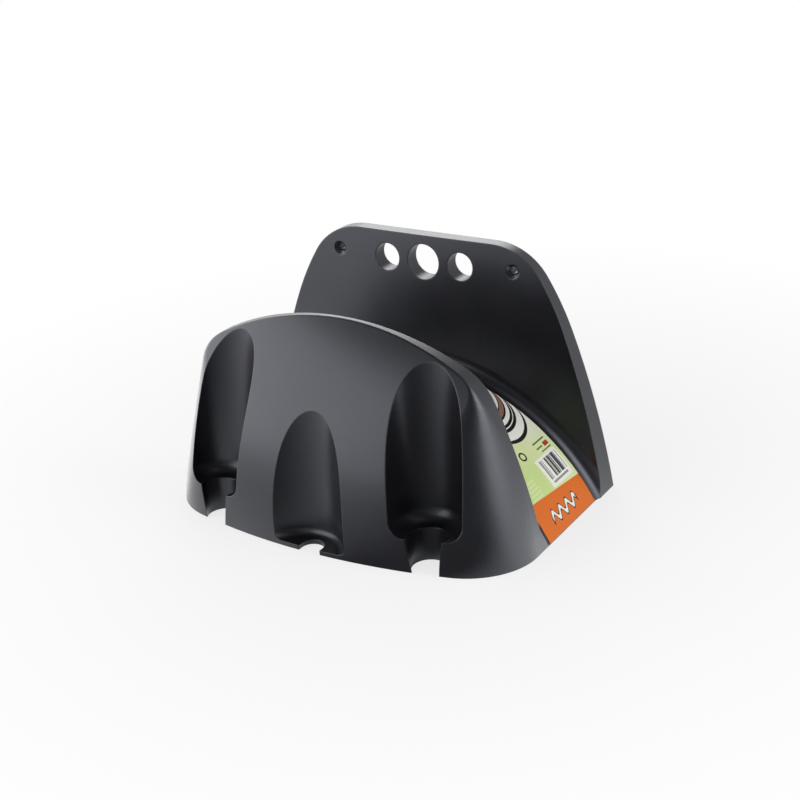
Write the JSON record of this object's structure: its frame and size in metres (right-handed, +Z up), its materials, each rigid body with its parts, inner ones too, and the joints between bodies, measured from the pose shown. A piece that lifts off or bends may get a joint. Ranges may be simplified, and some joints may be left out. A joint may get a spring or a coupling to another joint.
{
  "type": "hose hanger",
  "caption": "Wall hanger for a garden hose: a hollow moulding with a back plate, an arched saddle and a bowed front with niches for nozzles and connectors.",
  "frame": {"origin": "midway between the two wall screws, on the wall plane behind the plate", "axes": "+X along the wall to the right as seen from the front, +Y into the wall, +Z up"},
  "size_m": [0.2902, 0.1802, 0.176],
  "materials": {
    "hanger_plastic": "satin dark slate, fine moulded grain",
    "label_print": "satin printed film in green, cream, black and orange"
  },
  "bodies": {
    "root": {"hanger_body": "hanger_plastic", "label": "label_print"}
  },
  "joints": []
}
